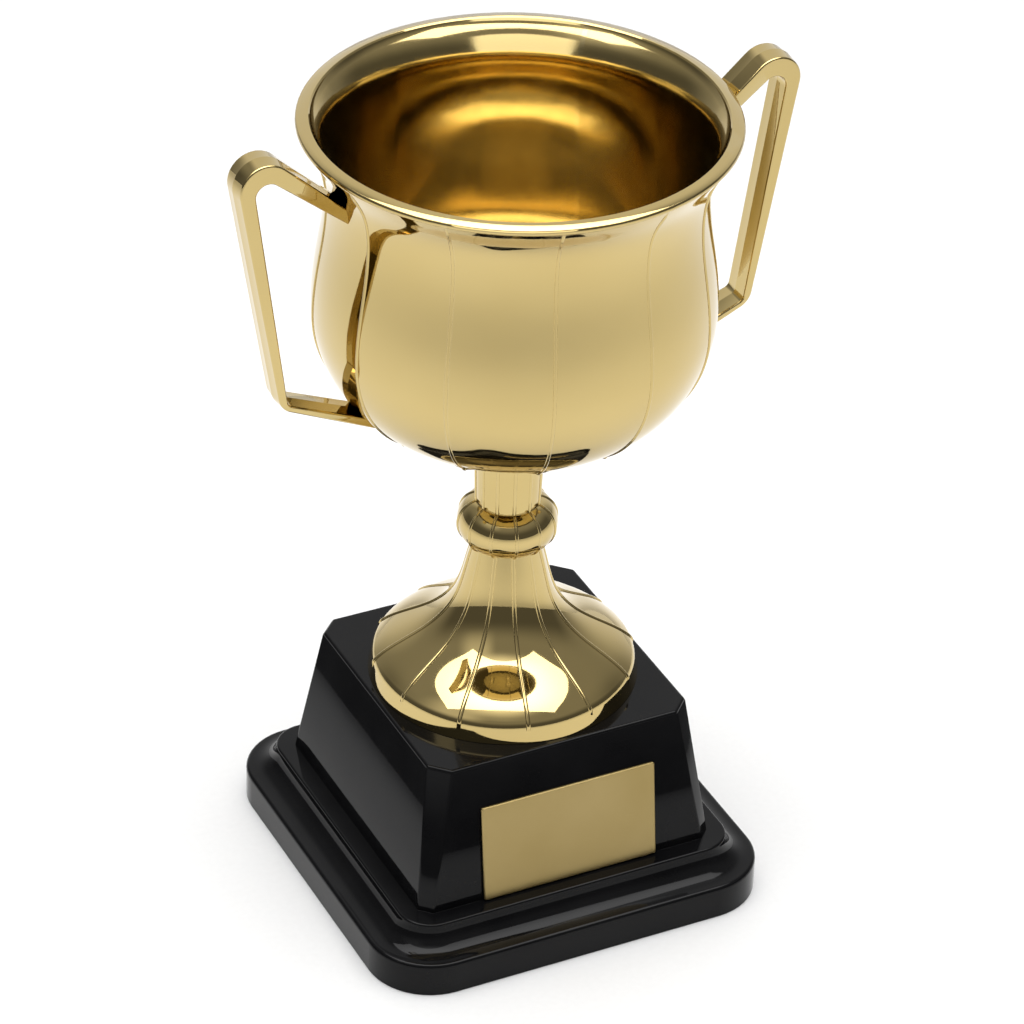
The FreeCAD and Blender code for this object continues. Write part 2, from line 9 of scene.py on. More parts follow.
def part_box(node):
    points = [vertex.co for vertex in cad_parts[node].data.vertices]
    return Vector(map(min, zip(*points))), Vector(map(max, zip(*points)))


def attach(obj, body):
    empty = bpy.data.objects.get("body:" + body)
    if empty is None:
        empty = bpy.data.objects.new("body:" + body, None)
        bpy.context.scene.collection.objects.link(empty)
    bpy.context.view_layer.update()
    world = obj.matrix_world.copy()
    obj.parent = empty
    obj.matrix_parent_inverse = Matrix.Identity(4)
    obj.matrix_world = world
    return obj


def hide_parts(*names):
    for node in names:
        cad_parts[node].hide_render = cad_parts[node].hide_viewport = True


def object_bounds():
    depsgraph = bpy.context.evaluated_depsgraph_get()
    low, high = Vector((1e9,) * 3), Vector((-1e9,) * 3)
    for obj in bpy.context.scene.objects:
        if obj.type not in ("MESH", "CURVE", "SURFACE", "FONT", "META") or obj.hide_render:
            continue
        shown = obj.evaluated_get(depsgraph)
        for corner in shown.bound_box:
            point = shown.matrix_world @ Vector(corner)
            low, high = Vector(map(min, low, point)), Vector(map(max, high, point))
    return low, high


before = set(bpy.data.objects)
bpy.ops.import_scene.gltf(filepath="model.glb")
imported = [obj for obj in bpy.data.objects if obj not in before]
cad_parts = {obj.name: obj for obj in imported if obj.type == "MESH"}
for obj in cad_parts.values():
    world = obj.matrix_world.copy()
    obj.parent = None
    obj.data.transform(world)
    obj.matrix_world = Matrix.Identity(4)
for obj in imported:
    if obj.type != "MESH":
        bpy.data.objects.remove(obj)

# Looks of a two-handled cup trophy on a black two-tier plinth.
# The frame is in metres, +Z up, with its origin at the bottom centre of the plinth and the
# plaque facing -Y. Outlines are drawn in millimetres and scaled once, when a mesh is made.

MM = 0.001
cad_low, cad_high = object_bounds()


def node_box(name):
    """Lowest and highest corner of a CAD node, in millimetres."""
    low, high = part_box(name)
    return low / MM, high / MM


# ---- sizes taken from the frame ---------------------------------------------------------

plinth_low, plinth_high = node_box("plinth_shell")
foot_low, foot_high = node_box("foot")
bowl_low, bowl_high = node_box("bowl")
stem_low, stem_high = node_box("stem")
insert_high = node_box("bowl_insert")[1]
handle_low, handle_high = node_box("handle_right")
pad_low, pad_high = node_box("base_pad")
plaque_low, plaque_high = node_box("plaque")

PLINTH_SIDE = plinth_high.x - plinth_low.x
TIER_TOP_Z = foot_low.z
FOOT_SKIRT_R = foot_high.x
FOOT_TOP_Z = stem_low.z
BOWL_BOSS_LOW_Z = bowl_low.z
BOWL_FLOOR_Z = stem_high.z
INSERT_TOP_Z = insert_high.z
INSERT_R = insert_high.x
LIP_TOP_Z = bowl_high.z
LIP_OUTER_R = 49.6
HANDLE_DEPTH = handle_high.y - handle_low.y
PAD_SIDE = pad_high.x - pad_low.x
PAD_T = pad_high.z - pad_low.z
PLAQUE_W = plaque_high.x - plaque_low.x

# ---- sizes in millimetres, as the CAD model has them ------------------------------------

PLINTH_CORNER_R = 15.5
SHOULDER_Z = 8.7
SHOULDER_R = 1.0
LEDGE_Z = 14.8
LEDGE_INSET = 7.4
LEDGE_EDGE_R = 0.6
TIER_FOOT_SIDE = 76.2
TIER_TOP_SIDE = 67.1
TIER_FOOT_CHAMFER = 2.8
TIER_TOP_CHAMFER = 4.4
TIER_CORNER_R = 1.0
TIER_TOP_EDGE_R = 0.8
PLINTH_WALL = 2.5
PLINTH_LOW_WALL = 3.0
PAD_RIM = 1.6
PAD_EDGE = 0.2
UNDER_EDGE_R = 0.3

FOOT_SHOULDER_R = 31.0
FOOT_SHOULDER_Z = 55.6
FOOT_SHOULDER_ROUND = 3.0
FOOT_COLLAR = (29.7, 56.8)
FOOT_TOP_R = 8.0
FOOT_CURVE = [(25.6, 59.8), (20.7, 62.8), (17.5, 65.1), (12.4, 71.3), (9.6, 80.2)]
FOOT_WALL = 1.8
FOOT_LIFT = 0.5
FOOT_BOSS_R = 6.0

KNOP_R = 11.75
KNOP_Z = 93.0
NECK_FOOT_Z = 98.3
NECK_FOOT_R = 7.6
NECK_TOP_R = 8.15
ROD_HOLE_R = 3.3

BELLY_ARC_X = 15.0
BELLY_ARC_R = 31.0
WAIST_CURVE = [(45.25, 162.0), (43.1, 180.0), (44.7, 190.0), (48.7, 197.0)]
THROAT_CURVE = [(44.6, 196.9), (43.4, 195.2), (42.4, 193.0), (41.75, 190.0)]
THROAT_CURVE += [(41.45, 184.0), (41.9, 174.0), (43.65, 162.0)]
BOWL_WALL = 1.6
BOWL_BOSS_R = 5.0
SOCKET_GAP = 0.05
SOCKET_DEPTH_GAP = 0.2
LIP_OUTER_Z = 198.0
LIP_INNER_R = 46.3
LIP_STEP = 0.35

RIB_COUNT = 12
RIB_FIRST_DEG = 15.0
RIB_W = 0.8
RIB_H = 0.3
RIB_FADE = 1.5
BOWL_RIB_INNER_R = 32.0
BOWL_RIB_TOP_Z = 196.5
RIB_BALL_R = 0.9
RIB_BALL_H = 0.6
DROP_REACH = 1.6
FOOT_RIB_W = 1.0
FOOT_RIB_H = 0.35
FOOT_RIB_LOW_Z = 53.6
FOOT_RIB_FADE = 1.6
RIB_EDGE = 0.3

HANDLE_RIDGE = 0.15
HANDLE_EDGE_R = 0.45
HANDLE_TOP_OUTER = (62.0, 204.4, 1.0, 0.90)
HANDLE_TOP_INNER = (62.0, 198.3, 1.0, 0.80)
HANDLE_SIDE_OUTER = (60.9, 150.0, 0.17, 1.0)
HANDLE_SIDE_INNER = (58.4, 150.0, 0.14, 1.0)
HANDLE_LOW_OUTER = (62.0, 140.6, 1.0, 0.46)
HANDLE_LOW_INNER = (62.0, 142.4, 1.0, 0.42)
HANDLE_TOP_OUTER_R = 6.4
HANDLE_TOP_INNER_R = 2.8
HANDLE_LOW_OUTER_R = 5.0
HANDLE_LOW_INNER_R = 1.5
HANDLE_SINK = 0.9

PLAQUE_H = 24.9
PLAQUE_T = 0.8
PLAQUE_CORNER_R = 0.5
PLAQUE_BEVEL = 0.25
PLAQUE_LIFT = 0.2
TAPE_T = 0.3

# How finely outlines are followed
CURVE_STEP = 1.0
SOFT_EDGE = 0.12
SUPPORT = 0.04
ARC_STEP_DEG = 9.0
PANEL_COLUMNS = 8
RIB_COLUMNS = 5
RIB_REACH = 1.6
FINE_STEP = 0.2
BEND_SAMPLES = 24
JOINT_MARGIN = 0.05
MERGE_DISTANCE = 1e-7

BOWL_INNER_Z = BOWL_FLOOR_Z + BOWL_WALL
tier_slope = (TIER_FOOT_SIDE - TIER_TOP_SIDE) / 2 / (TIER_TOP_Z - LEDGE_Z)
tier_tilt = math.atan(tier_slope)


# ---- outlines ---------------------------------------------------------------------------


def spline(points, start=None, end=None):
    """A smooth cubic curve through points, as samples about CURVE_STEP apart.

    start and end are the directions at its two ends; without one, that end is left free.
    """
    knots = np.array(points, float)
    spans = np.linalg.norm(np.diff(knots, axis=0), axis=1)
    count = len(knots)
    matrix = np.zeros((count, count))
    right = np.zeros((count, 2))
    for i in range(1, count - 1):
        matrix[i, i - 1] = spans[i]
        matrix[i, i] = 2 * (spans[i - 1] + spans[i])
        matrix[i, i + 1] = spans[i - 1]
        before = (knots[i] - knots[i - 1]) / spans[i - 1]
        after = (knots[i + 1] - knots[i]) / spans[i]
        right[i] = 3 * (spans[i] * before + spans[i - 1] * after)
    for row, near, direction in ((0, 1, start), (count - 1, count - 2, end)):
        if direction is None:
            span = spans[0] if row == 0 else spans[-1]
            matrix[row, row] = 2
            matrix[row, near] = 1
            right[row] = 3 * abs(row - near) * (knots[max(row, near)] - knots[min(row, near)]) / span
        else:
            matrix[row, row] = 1
            right[row] = np.array(direction, float) / np.linalg.norm(direction)
    slopes = np.linalg.solve(matrix, right)
    samples = []
    for i, span in enumerate(spans):
        steps = max(2, round(span / CURVE_STEP))
        for t in np.linspace(0, 1, steps, endpoint=False):
            value = (
                knots[i] * (2 * t**3 - 3 * t**2 + 1)
                + slopes[i] * span * (t**3 - 2 * t**2 + t)
                + knots[i + 1] * (3 * t**2 - 2 * t**3)
                + slopes[i + 1] * span * (t**3 - t**2)
            )
            samples.append((float(value[0]), float(value[1])))
    return samples + [tuple(knots[-1])]


def arc(centre, radius, start_deg, end_deg, step=ARC_STEP_DEG):
    """Samples along a round arc, its two ends included."""
    steps = max(2, math.ceil(abs(end_deg - start_deg) / step))
    turns = np.radians(np.linspace(start_deg, end_deg, steps + 1))
    return [(centre[0] + radius * math.cos(a), centre[1] + radius * math.sin(a)) for a in turns]


def arc_through(a, b, c):
    """Samples along the arc from a through b to c."""
    rows = [[2 * (b[0] - a[0]), 2 * (b[1] - a[1])], [2 * (c[0] - a[0]), 2 * (c[1] - a[1])]]
    right = [
        b[0] ** 2 + b[1] ** 2 - a[0] ** 2 - a[1] ** 2,
        c[0] ** 2 + c[1] ** 2 - a[0] ** 2 - a[1] ** 2,
    ]
    centre = np.linalg.solve(rows, right)
    radius = math.dist(a, centre)
    start, middle, end = (math.degrees(math.atan2(p[1] - centre[1], p[0] - centre[0])) for p in (a, b, c))
    if not min(start, end) < middle < max(start, end):
        end += 360 if end < start else -360
    return arc(centre, radius, start, end, ARC_STEP_DEG / 2)


def fillet(before, corner, after, radius):
    """The corner of an outline rounded by radius, with a close sample on each straight side."""
    here = np.array(corner)
    to_before = np.array(before) - here
    to_after = np.array(after) - here
    to_before /= np.linalg.norm(to_before)
    to_after /= np.linalg.norm(to_after)
    half = math.acos(np.clip(to_before @ to_after, -1, 1)) / 2
    reach = radius / math.tan(half)
    bisector = (to_before + to_after) / np.linalg.norm(to_before + to_after)
    centre = here + bisector * radius / math.sin(half)
    first = here + to_before * reach
    last = here + to_after * reach
    start = math.atan2(*(first - centre)[::-1])
    sweep = (math.atan2(*(last - centre)[::-1]) - start + math.pi) % (2 * math.pi) - math.pi
    steps = max(3, math.ceil(abs(math.degrees(sweep)) / ARC_STEP_DEG))
    turns = [start + sweep * k / steps for k in range(steps + 1)]
    curve = [tuple(centre + radius * np.array((math.cos(a), math.sin(a)))) for a in turns]
    return [tuple(first + to_before * SUPPORT)] + curve + [tuple(last + to_after * SUPPORT)]


def soften(outline, closed=True):
    """Rounds each (x, y, radius) corner of an outline; a radius of 0 keeps the point as it is."""
    count = len(outline)
    made = []
    for i, (x, y, radius) in enumerate(outline):
        inner = closed or 0 < i < count - 1
        if radius > 0 and inner:
            made += fillet(outline[i - 1][:2], (x, y), outline[(i + 1) % count][:2], radius)
        else:
            made.append((x, y))
    return made


def plain(points):
    return [(x, y, 0.0) for x, y in points]


def smoothstep(low, high, value):
    t = np.clip((value - low) / (high - low), 0, 1)
    return t * t * (3 - 2 * t)


# ---- meshes -----------------------------------------------------------------------------


def make_object(name, vertices, faces, material, replaced):
    """A smooth-shaded piece in metres that rides on the body and stands for a CAD node."""
    mesh = bpy.data.meshes.new(name)
    mesh.from_pydata([tuple(v) for v in np.array(vertices) * MM], [], faces)
    bm = bmesh.new()
    bm.from_mesh(mesh)
    bmesh.ops.remove_doubles(bm, verts=bm.verts, dist=MERGE_DISTANCE)
    bmesh.ops.recalc_face_normals(bm, faces=bm.faces)
    bm.to_mesh(mesh)
    bm.free()
    mesh.shade_smooth()
    piece = bpy.data.objects.new(name, mesh)
    bpy.context.scene.collection.objects.link(piece)
    piece.data.materials.append(material)
    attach(piece, "root")
    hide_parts(replaced)
    return piece


def column_offsets():
    """Each column as (panel, rib part, panel part): a column is either across a rib or on a panel.

    The rib part runs from -RIB_REACH to RIB_REACH in half widths, with most columns where the
    raised line is steep.
    """
    half = [math.sin(math.radians(90 * k / RIB_COLUMNS)) for k in range(1, RIB_COLUMNS + 1)]
    half += [1.06, 1.25, RIB_REACH]
    across = [-share for share in half[::-1]] + [0.0] + half
    columns = []
    for panel in range(RIB_COUNT):
        columns += [(panel, share, 0.0) for share in across]
        columns += [(panel, RIB_REACH, k / PANEL_COLUMNS) for k in range(1, PANEL_COLUMNS)]
    return columns


def turned_piece(name, outline, rib_amount, rib_size, ball_at, material, node):
    """An outline turned about the Z axis, closed or with both ends on it, with raised lines.

    rib_amount gives the share of the full rib height at each sample, rib_size the width and
    height of a rib, and ball_at the point of the outline where every rib ends in a small
    round drop, or None.
    """
    rows = np.array(outline)
    ahead = np.roll(rows, -1, axis=0) - rows
    behind = rows - np.roll(rows, 1, axis=0)
    ahead /= np.linalg.norm(ahead, axis=1)[:, None]
    behind /= np.linalg.norm(behind, axis=1)[:, None]
    tangent = ahead + behind
    tangent /= np.maximum(np.linalg.norm(tangent, axis=1), 1e-9)[:, None]
    normal = np.stack([tangent[:, 1], -tangent[:, 0]], axis=1)
    columns = column_offsets()
    panel_turn = 2 * math.pi / RIB_COUNT
    width, full_height = rib_size
    vertices = []
    for i, (r, z) in enumerate(rows):
        half_turn = panel_turn / 3 / RIB_REACH if r == 0 else min(width / 2 / r, panel_turn / 3 / RIB_REACH)
        for panel, across, along in columns:
            middle = math.radians(RIB_FIRST_DEG) + panel * panel_turn
            turn = middle + across * half_turn + along * (panel_turn - 2 * RIB_REACH * half_turn)
            height = rib_amount[i] * full_height * math.sqrt(max(0.0, 1 - across**2))
            if ball_at is not None and along == 0:
                away = (r - ball_at[0]) ** 2 + (z - ball_at[1]) ** 2 + (across * half_turn * r) ** 2
                height = max(height, RIB_BALL_H * max(0.0, 1 - away / RIB_BALL_R**2))
            radius = r + normal[i, 0] * height
            vertices.append((radius * math.cos(turn), radius * math.sin(turn), z + normal[i, 1] * height))
    count = len(columns)
    faces = []
    for i in range(len(rows)):
        after = (i + 1) % len(rows)
        if rows[i][0] == rows[after][0] == 0:
            continue
        for j in range(count):
            beside = (j + 1) % count
            faces.append((i * count + j, i * count + beside, after * count + beside, after * count + j))
    return make_object(name, vertices, faces, material, node)


# ---- bowl -------------------------------------------------------------------------------


def belly(shift):
    centre = (BELLY_ARC_X, BOWL_FLOOR_Z + BELLY_ARC_R)
    return arc(centre, BELLY_ARC_R + shift, -90, 0, 1.5)


def bowl_outline():
    """The bowl's outline from the axis under its floor, round the lip, to the axis on its floor."""
    outside = belly(0.0)
    waist = spline([outside[-1]] + WAIST_CURVE, (0, 1), (4.0, 7.0))
    bead_low = (LIP_OUTER_R - LIP_STEP, LIP_OUTER_Z - 2 * LIP_STEP)
    bead_top = (LIP_OUTER_R - LIP_STEP, LIP_OUTER_Z + 2 * LIP_STEP)
    bead = arc_through(bead_low, (LIP_OUTER_R, LIP_OUTER_Z), bead_top)
    inner_edge = (LIP_INNER_R, LIP_TOP_Z - LIP_STEP)
    inner_join = (LIP_INNER_R - LIP_STEP, inner_edge[1] - 2 * LIP_STEP)
    inside = belly(-BOWL_WALL)[::-1]
    throat = spline([inner_join] + THROAT_CURVE + [inside[0]], None, (0, -1))
    corners = [(0.0, INSERT_TOP_Z, 0.0), (INSERT_R, INSERT_TOP_Z, SOFT_EDGE)]
    corners += [(INSERT_R, BOWL_BOSS_LOW_Z, SOFT_EDGE), (BOWL_BOSS_R, BOWL_BOSS_LOW_Z, SOFT_EDGE)]
    corners += [(BOWL_BOSS_R, BOWL_FLOOR_Z, SOFT_EDGE)] + plain(outside[:-1]) + plain(waist[:-1])
    corners += [(*waist[-1], SOFT_EDGE)] + plain(bead)
    corners += [(LIP_INNER_R + LIP_STEP, LIP_TOP_Z, SOFT_EDGE), (*inner_edge, SOFT_EDGE)]
    corners += plain(throat[:-1]) + plain(inside)
    corners += [(BOWL_BOSS_R, BOWL_INNER_Z, 0.0), (0.0, BOWL_INNER_Z, 0.0)]
    return soften(corners, closed=False)


def refined(outline, centre, reach, step):
    """The outline with extra samples near a point, so that small relief there is followed."""
    made = []
    for i, point in enumerate(outline):
        after = outline[(i + 1) % len(outline)]
        made.append(point)
        if min(math.dist(point, centre), math.dist(after, centre)) < reach:
            parts = math.ceil(math.dist(point, after) / step)
            for k in range(1, parts):
                share = k / parts
                made.append(tuple(np.array(point) * (1 - share) + np.array(after) * share))
    return made


def make_bowl(material, inside_material):
    drop = math.acos((BOWL_RIB_INNER_R - BELLY_ARC_X) / BELLY_ARC_R)
    ball = (BOWL_RIB_INNER_R, BOWL_FLOOR_Z + BELLY_ARC_R - BELLY_ARC_R * math.sin(drop))
    outline = refined(bowl_outline(), ball, DROP_REACH, FINE_STEP)
    rows = np.array(outline)
    outside = np.zeros(len(rows))
    for i, (r, z) in enumerate(outline):
        if z > BOWL_FLOOR_Z + BELLY_ARC_R:
            outside[i] = r > waist_radius(z) - BOWL_WALL / 2
        else:
            outside[i] = math.dist((r, z), (BELLY_ARC_X, BOWL_FLOOR_Z + BELLY_ARC_R)) > BELLY_ARC_R - 0.5
    fade_low = smoothstep(BOWL_RIB_INNER_R - RIB_EDGE, BOWL_RIB_INNER_R + RIB_EDGE, rows[:, 0])
    fade_top = 1 - smoothstep(BOWL_RIB_TOP_Z - RIB_FADE, BOWL_RIB_TOP_Z, rows[:, 1])
    amount = outside * fade_low * fade_top
    bowl = turned_piece("bowl_shell", outline, amount, (RIB_W, RIB_H), ball, material, "bowl")
    bowl.data.materials.append(inside_material)
    for polygon in bowl.data.polygons:
        x, y, z = polygon.center / MM
        within = math.hypot(x, y) < bowl_radius(max(z, BOWL_FLOOR_Z)) - BOWL_WALL / 2
        polygon.material_index = int(within and BOWL_INNER_Z - SUPPORT < z < LIP_TOP_Z - 2 * LIP_STEP)
    return bowl


def waist_radius(z):
    """Outside radius of the bowl above its widest point."""
    widest = (BELLY_ARC_X + BELLY_ARC_R, BOWL_FLOOR_Z + BELLY_ARC_R)
    samples = np.array(spline([widest] + WAIST_CURVE, (0, 1), (4.0, 7.0)))
    return float(np.interp(z, samples[:, 1], samples[:, 0]))


def bowl_radius(z):
    """Outside radius of the bowl at a height between its floor and its lip."""
    centre_z = BOWL_FLOOR_Z + BELLY_ARC_R
    if z > centre_z:
        return waist_radius(z)
    return BELLY_ARC_X + math.sqrt(BELLY_ARC_R**2 - (centre_z - z) ** 2)


# ---- stem and foot ----------------------------------------------------------------------


def make_stem(material):
    knop = arc_through((FOOT_TOP_R, FOOT_TOP_Z), (KNOP_R, KNOP_Z), (NECK_FOOT_R, NECK_FOOT_Z))
    neck_top = (NECK_TOP_R, BOWL_FLOOR_Z)
    corners = [(ROD_HOLE_R, FOOT_TOP_Z, SOFT_EDGE), (*knop[0], SOFT_EDGE)] + plain(knop[1:-1])
    corners += [(*knop[-1], SOFT_EDGE), (*neck_top, SOFT_EDGE)]
    socket_r = BOWL_BOSS_R + SOCKET_GAP
    socket_low = BOWL_BOSS_LOW_Z - SOCKET_DEPTH_GAP
    corners += [(socket_r, BOWL_FLOOR_Z, SOFT_EDGE), (socket_r, socket_low, SOFT_EDGE)]
    corners += [(ROD_HOLE_R, socket_low, SOFT_EDGE)]
    rows = np.array(soften(corners))
    between_ends = (rows[:, 1] > FOOT_TOP_Z + JOINT_MARGIN) & (rows[:, 1] < BOWL_FLOOR_Z - JOINT_MARGIN)
    amount = (between_ends & (rows[:, 0] > NECK_FOOT_R - RIB_EDGE)).astype(float)
    return turned_piece("stem_turning", rows, amount, (RIB_W, RIB_H), None, material, "stem")


def make_foot(material):
    shoulder = (FOOT_SHOULDER_R, FOOT_SHOULDER_Z)
    along_collar = (FOOT_COLLAR[0] - shoulder[0], FOOT_COLLAR[1] - shoulder[1])
    cone = spline([FOOT_COLLAR] + FOOT_CURVE + [(FOOT_TOP_R, FOOT_TOP_Z)], along_collar)
    inner_shoulder = (FOOT_SHOULDER_R - FOOT_WALL, FOOT_SHOULDER_Z - FOOT_WALL)
    tip = (FOOT_BOSS_R + FOOT_WALL, FOOT_CURVE[3][1] - FOOT_WALL)
    hollow = [tip] + [(r - FOOT_WALL, z - FOOT_WALL) for r, z in FOOT_CURVE[2::-1]] + [inner_shoulder]
    boss_low = TIER_TOP_Z + FOOT_LIFT
    skirt_low = (FOOT_SKIRT_R, TIER_TOP_Z)
    skirt_high = (
        (FOOT_SKIRT_R + shoulder[0]) / 2,
        (TIER_TOP_Z + FOOT_SHOULDER_Z) / 2,
    )
    corners = [(ROD_HOLE_R, boss_low, SOFT_EDGE), (FOOT_BOSS_R, boss_low, SOFT_EDGE)]
    corners += [(FOOT_BOSS_R, tip[1], SOFT_EDGE)] + plain(spline(hollow))
    corners += [(FOOT_SKIRT_R - FOOT_WALL, TIER_TOP_Z, SOFT_EDGE), (*skirt_low, SOFT_EDGE)]
    corners += plain([skirt_high]) + [(*shoulder, FOOT_SHOULDER_ROUND)] + plain(cone[:-1])
    corners += [(*cone[-1], SOFT_EDGE), (ROD_HOLE_R, FOOT_TOP_Z, SOFT_EDGE)]
    rows = np.array(refined(soften(corners), skirt_high, FOOT_SKIRT_R - FOOT_SHOULDER_R, 0.3))
    profile = [skirt_low, shoulder] + cone
    outer_r = np.interp(rows[:, 1], [p[1] for p in profile], [p[0] for p in profile])
    on_outside = (np.abs(rows[:, 0] - outer_r) < FOOT_WALL / 2) & (rows[:, 1] < FOOT_TOP_Z - JOINT_MARGIN)
    amount = on_outside * smoothstep(FOOT_RIB_LOW_Z, FOOT_RIB_LOW_Z + FOOT_RIB_FADE, rows[:, 1])
    return turned_piece("foot_cone", rows, amount, (FOOT_RIB_W, FOOT_RIB_H), None, material, "foot")


# ---- handles ----------------------------------------------------------------------------


def moved(edge, distance):
    """A bar edge (x, z, dx, dz) moved sideways, to the left of its direction."""
    x, z, dx, dz = edge
    length = math.hypot(dx, dz)
    return (x - dz / length * distance, z + dx / length * distance, dx, dz)


def at_x(edge, x):
    return (x, edge[1] + (x - edge[0]) * edge[3] / edge[2])


def crossing(first, second):
    det = first[2] * second[3] - first[3] * second[2]
    along = ((second[0] - first[0]) * second[3] - (second[1] - first[1]) * second[2]) / det
    return (first[0] + along * first[2], first[1] + along * first[3])


def wall_crossing(edge):
    """The point of a bar edge that lies HANDLE_SINK inside the outside of the bowl."""
    x = 0.0
    for candidate in np.arange(LIP_OUTER_R, BELLY_ARC_X, -0.05):
        if candidate < bowl_radius(at_x(edge, candidate)[1]) - HANDLE_SINK:
            x = float(candidate)
            break
    return at_x(edge, x)


def bar_path(top, side, low, top_r, low_r):
    """One side of the strap from its upper end on the bowl round to its lower end.

    Each sample is (x, z, normal x, normal z), the normal pointing away from the opening.
    """
    corners = [wall_crossing(top), crossing(top, side), crossing(side, low), wall_crossing(low)]
    samples = []
    for i, radius in ((1, top_r), (2, low_r)):
        samples.append(stations(corners[i - 1], corners[i], corners[i + 1], radius))
    path = [corners[0]] + samples[0] + samples[1] + [corners[3]]
    points = np.array(path)
    ahead = np.diff(points, axis=0)
    ahead /= np.linalg.norm(ahead, axis=1)[:, None]
    tangent = np.vstack([ahead[:1], ahead[:-1] + ahead[1:], ahead[-1:]])
    tangent /= np.linalg.norm(tangent, axis=1)[:, None]
    return np.hstack([points, np.stack([-tangent[:, 1], tangent[:, 0]], axis=1)])


def stations(before, corner, after, radius):
    """A bend as a fixed number of samples, so that the strap's two sides keep in step."""
    curve = fillet(before, corner, after, radius)
    start, end = curve[1], curve[-2]
    here = np.array(corner)
    bisector = (np.array(start) + np.array(end)) / 2 - here
    half = math.asin(np.clip(np.linalg.norm(np.array(end) - start) / 2 / math.dist(start, corner), -1, 1))
    centre = here + bisector / np.linalg.norm(bisector) * radius / math.sin(half)
    first = math.atan2(*(np.array(start) - centre)[::-1])
    sweep = (math.atan2(*(np.array(end) - centre)[::-1]) - first + math.pi) % (2 * math.pi) - math.pi
    turns = [first + sweep * k / BEND_SAMPLES for k in range(BEND_SAMPLES + 1)]
    bend = [tuple(centre + radius * np.array((math.cos(a), math.sin(a)))) for a in turns]
    return [curve[0]] + bend + [curve[-1]]


def strap_section():
    """The strap's outline across its depth, as (outer share, y, sideways growth).

    The outer share is 1 on the side away from the opening and 0 on the side facing it.
    """
    half = HANDLE_DEPTH / 2
    edge = HANDLE_EDGE_R
    quarter = [math.radians(90 * k / 5) for k in range(6)]
    side = [(-half + edge - edge * math.cos(a), -HANDLE_RIDGE - edge + edge * math.sin(a)) for a in quarter]
    side += [(-half + edge + SUPPORT, -HANDLE_RIDGE), (-0.12, HANDLE_RIDGE - 0.02), (0.0, HANDLE_RIDGE)]
    face = [(-half, -HANDLE_RIDGE - edge - SUPPORT)]
    front_to_back = face + side + [(-y, grow) for y, grow in (face + side)[-2::-1]]
    outer = [(1, y, grow) for y, grow in front_to_back]
    inner = [(0, y, grow) for y, grow in front_to_back[::-1]]
    return outer + inner


def make_handle(name, side_sign, material, node):
    outer = bar_path(
        HANDLE_TOP_OUTER, HANDLE_SIDE_OUTER, HANDLE_LOW_OUTER, HANDLE_TOP_OUTER_R, HANDLE_LOW_OUTER_R
    )
    inner = bar_path(
        HANDLE_TOP_INNER, HANDLE_SIDE_INNER, HANDLE_LOW_INNER, HANDLE_TOP_INNER_R, HANDLE_LOW_INNER_R
    )
    section = strap_section()
    vertices = []
    for out_row, in_row in zip(outer, inner):
        for share, y, grow in section:
            row = out_row if share else in_row
            reach = grow if share else -grow
            x = row[0] + row[2] * reach
            z = row[1] + row[3] * reach
            vertices.append((side_sign * x, side_sign * y, z))
    width = len(section)
    faces = []
    for i in range(len(outer) - 1):
        for j in range(width):
            k = (j + 1) % width
            faces.append((i * width + j, i * width + k, (i + 1) * width + k, (i + 1) * width + j))
    faces.append(tuple(range(width)))
    last = (len(outer) - 1) * width
    faces.append(tuple(range(last, last + width)))
    return make_object(name, vertices, faces, material, node)


# ---- plinth -----------------------------------------------------------------------------

CORNER_SAMPLES = 12


def quarter_of_square(half, corner):
    """One corner of a rounded square, with a support sample on each side."""
    middle = half - corner
    turns = [math.radians(90 * k / CORNER_SAMPLES) for k in range(CORNER_SAMPLES + 1)]
    bend = [(middle + corner * math.cos(a), middle + corner * math.sin(a)) for a in turns]
    return [(half, middle - SUPPORT)] + bend + [(middle - SUPPORT, half)]


def quarter_of_octagon(half, leg, radius):
    """One chamfered corner whose two edges are rounded, with as many samples as a round one."""
    first = fillet((half, 0), (half, half - leg), (half - leg, half), radius)
    steps = CORNER_SAMPLES // 2
    reach = radius * math.tan(math.radians(22.5))
    centre = np.array((half - radius, half - leg - reach))
    turns = [math.radians(45 * k / (steps - 1)) for k in range(steps)]
    bend = [tuple(centre + radius * np.array((math.cos(a), math.sin(a)))) for a in turns]
    one_side = [first[0]] + bend
    middle = (half - leg / 2, half - leg / 2)
    return one_side + [middle] + [(y, x) for x, y in one_side[::-1]]


def ring(quarter, z):
    """The whole outline at height z from one corner's samples."""
    points = []
    for turn in range(4):
        cosine, sine = ((1, 0), (0, 1), (-1, 0), (0, -1))[turn]
        points += [(x * cosine - y * sine, x * sine + y * cosine, z) for x, y in quarter]
    return points


def skin_rings(name, rings, material, node):
    """A closed piece through rings of equal count, its first and last ring filled in."""
    vertices = [point for one in rings for point in one]
    width = len(rings[0])
    faces = [tuple(range(width))]
    for i in range(len(rings) - 1):
        for j in range(width):
            k = (j + 1) % width
            faces.append((i * width + j, i * width + k, (i + 1) * width + k, (i + 1) * width + j))
    last = (len(rings) - 1) * width
    faces.append(tuple(range(last, last + width)))
    return make_object(name, vertices, faces, material, node)


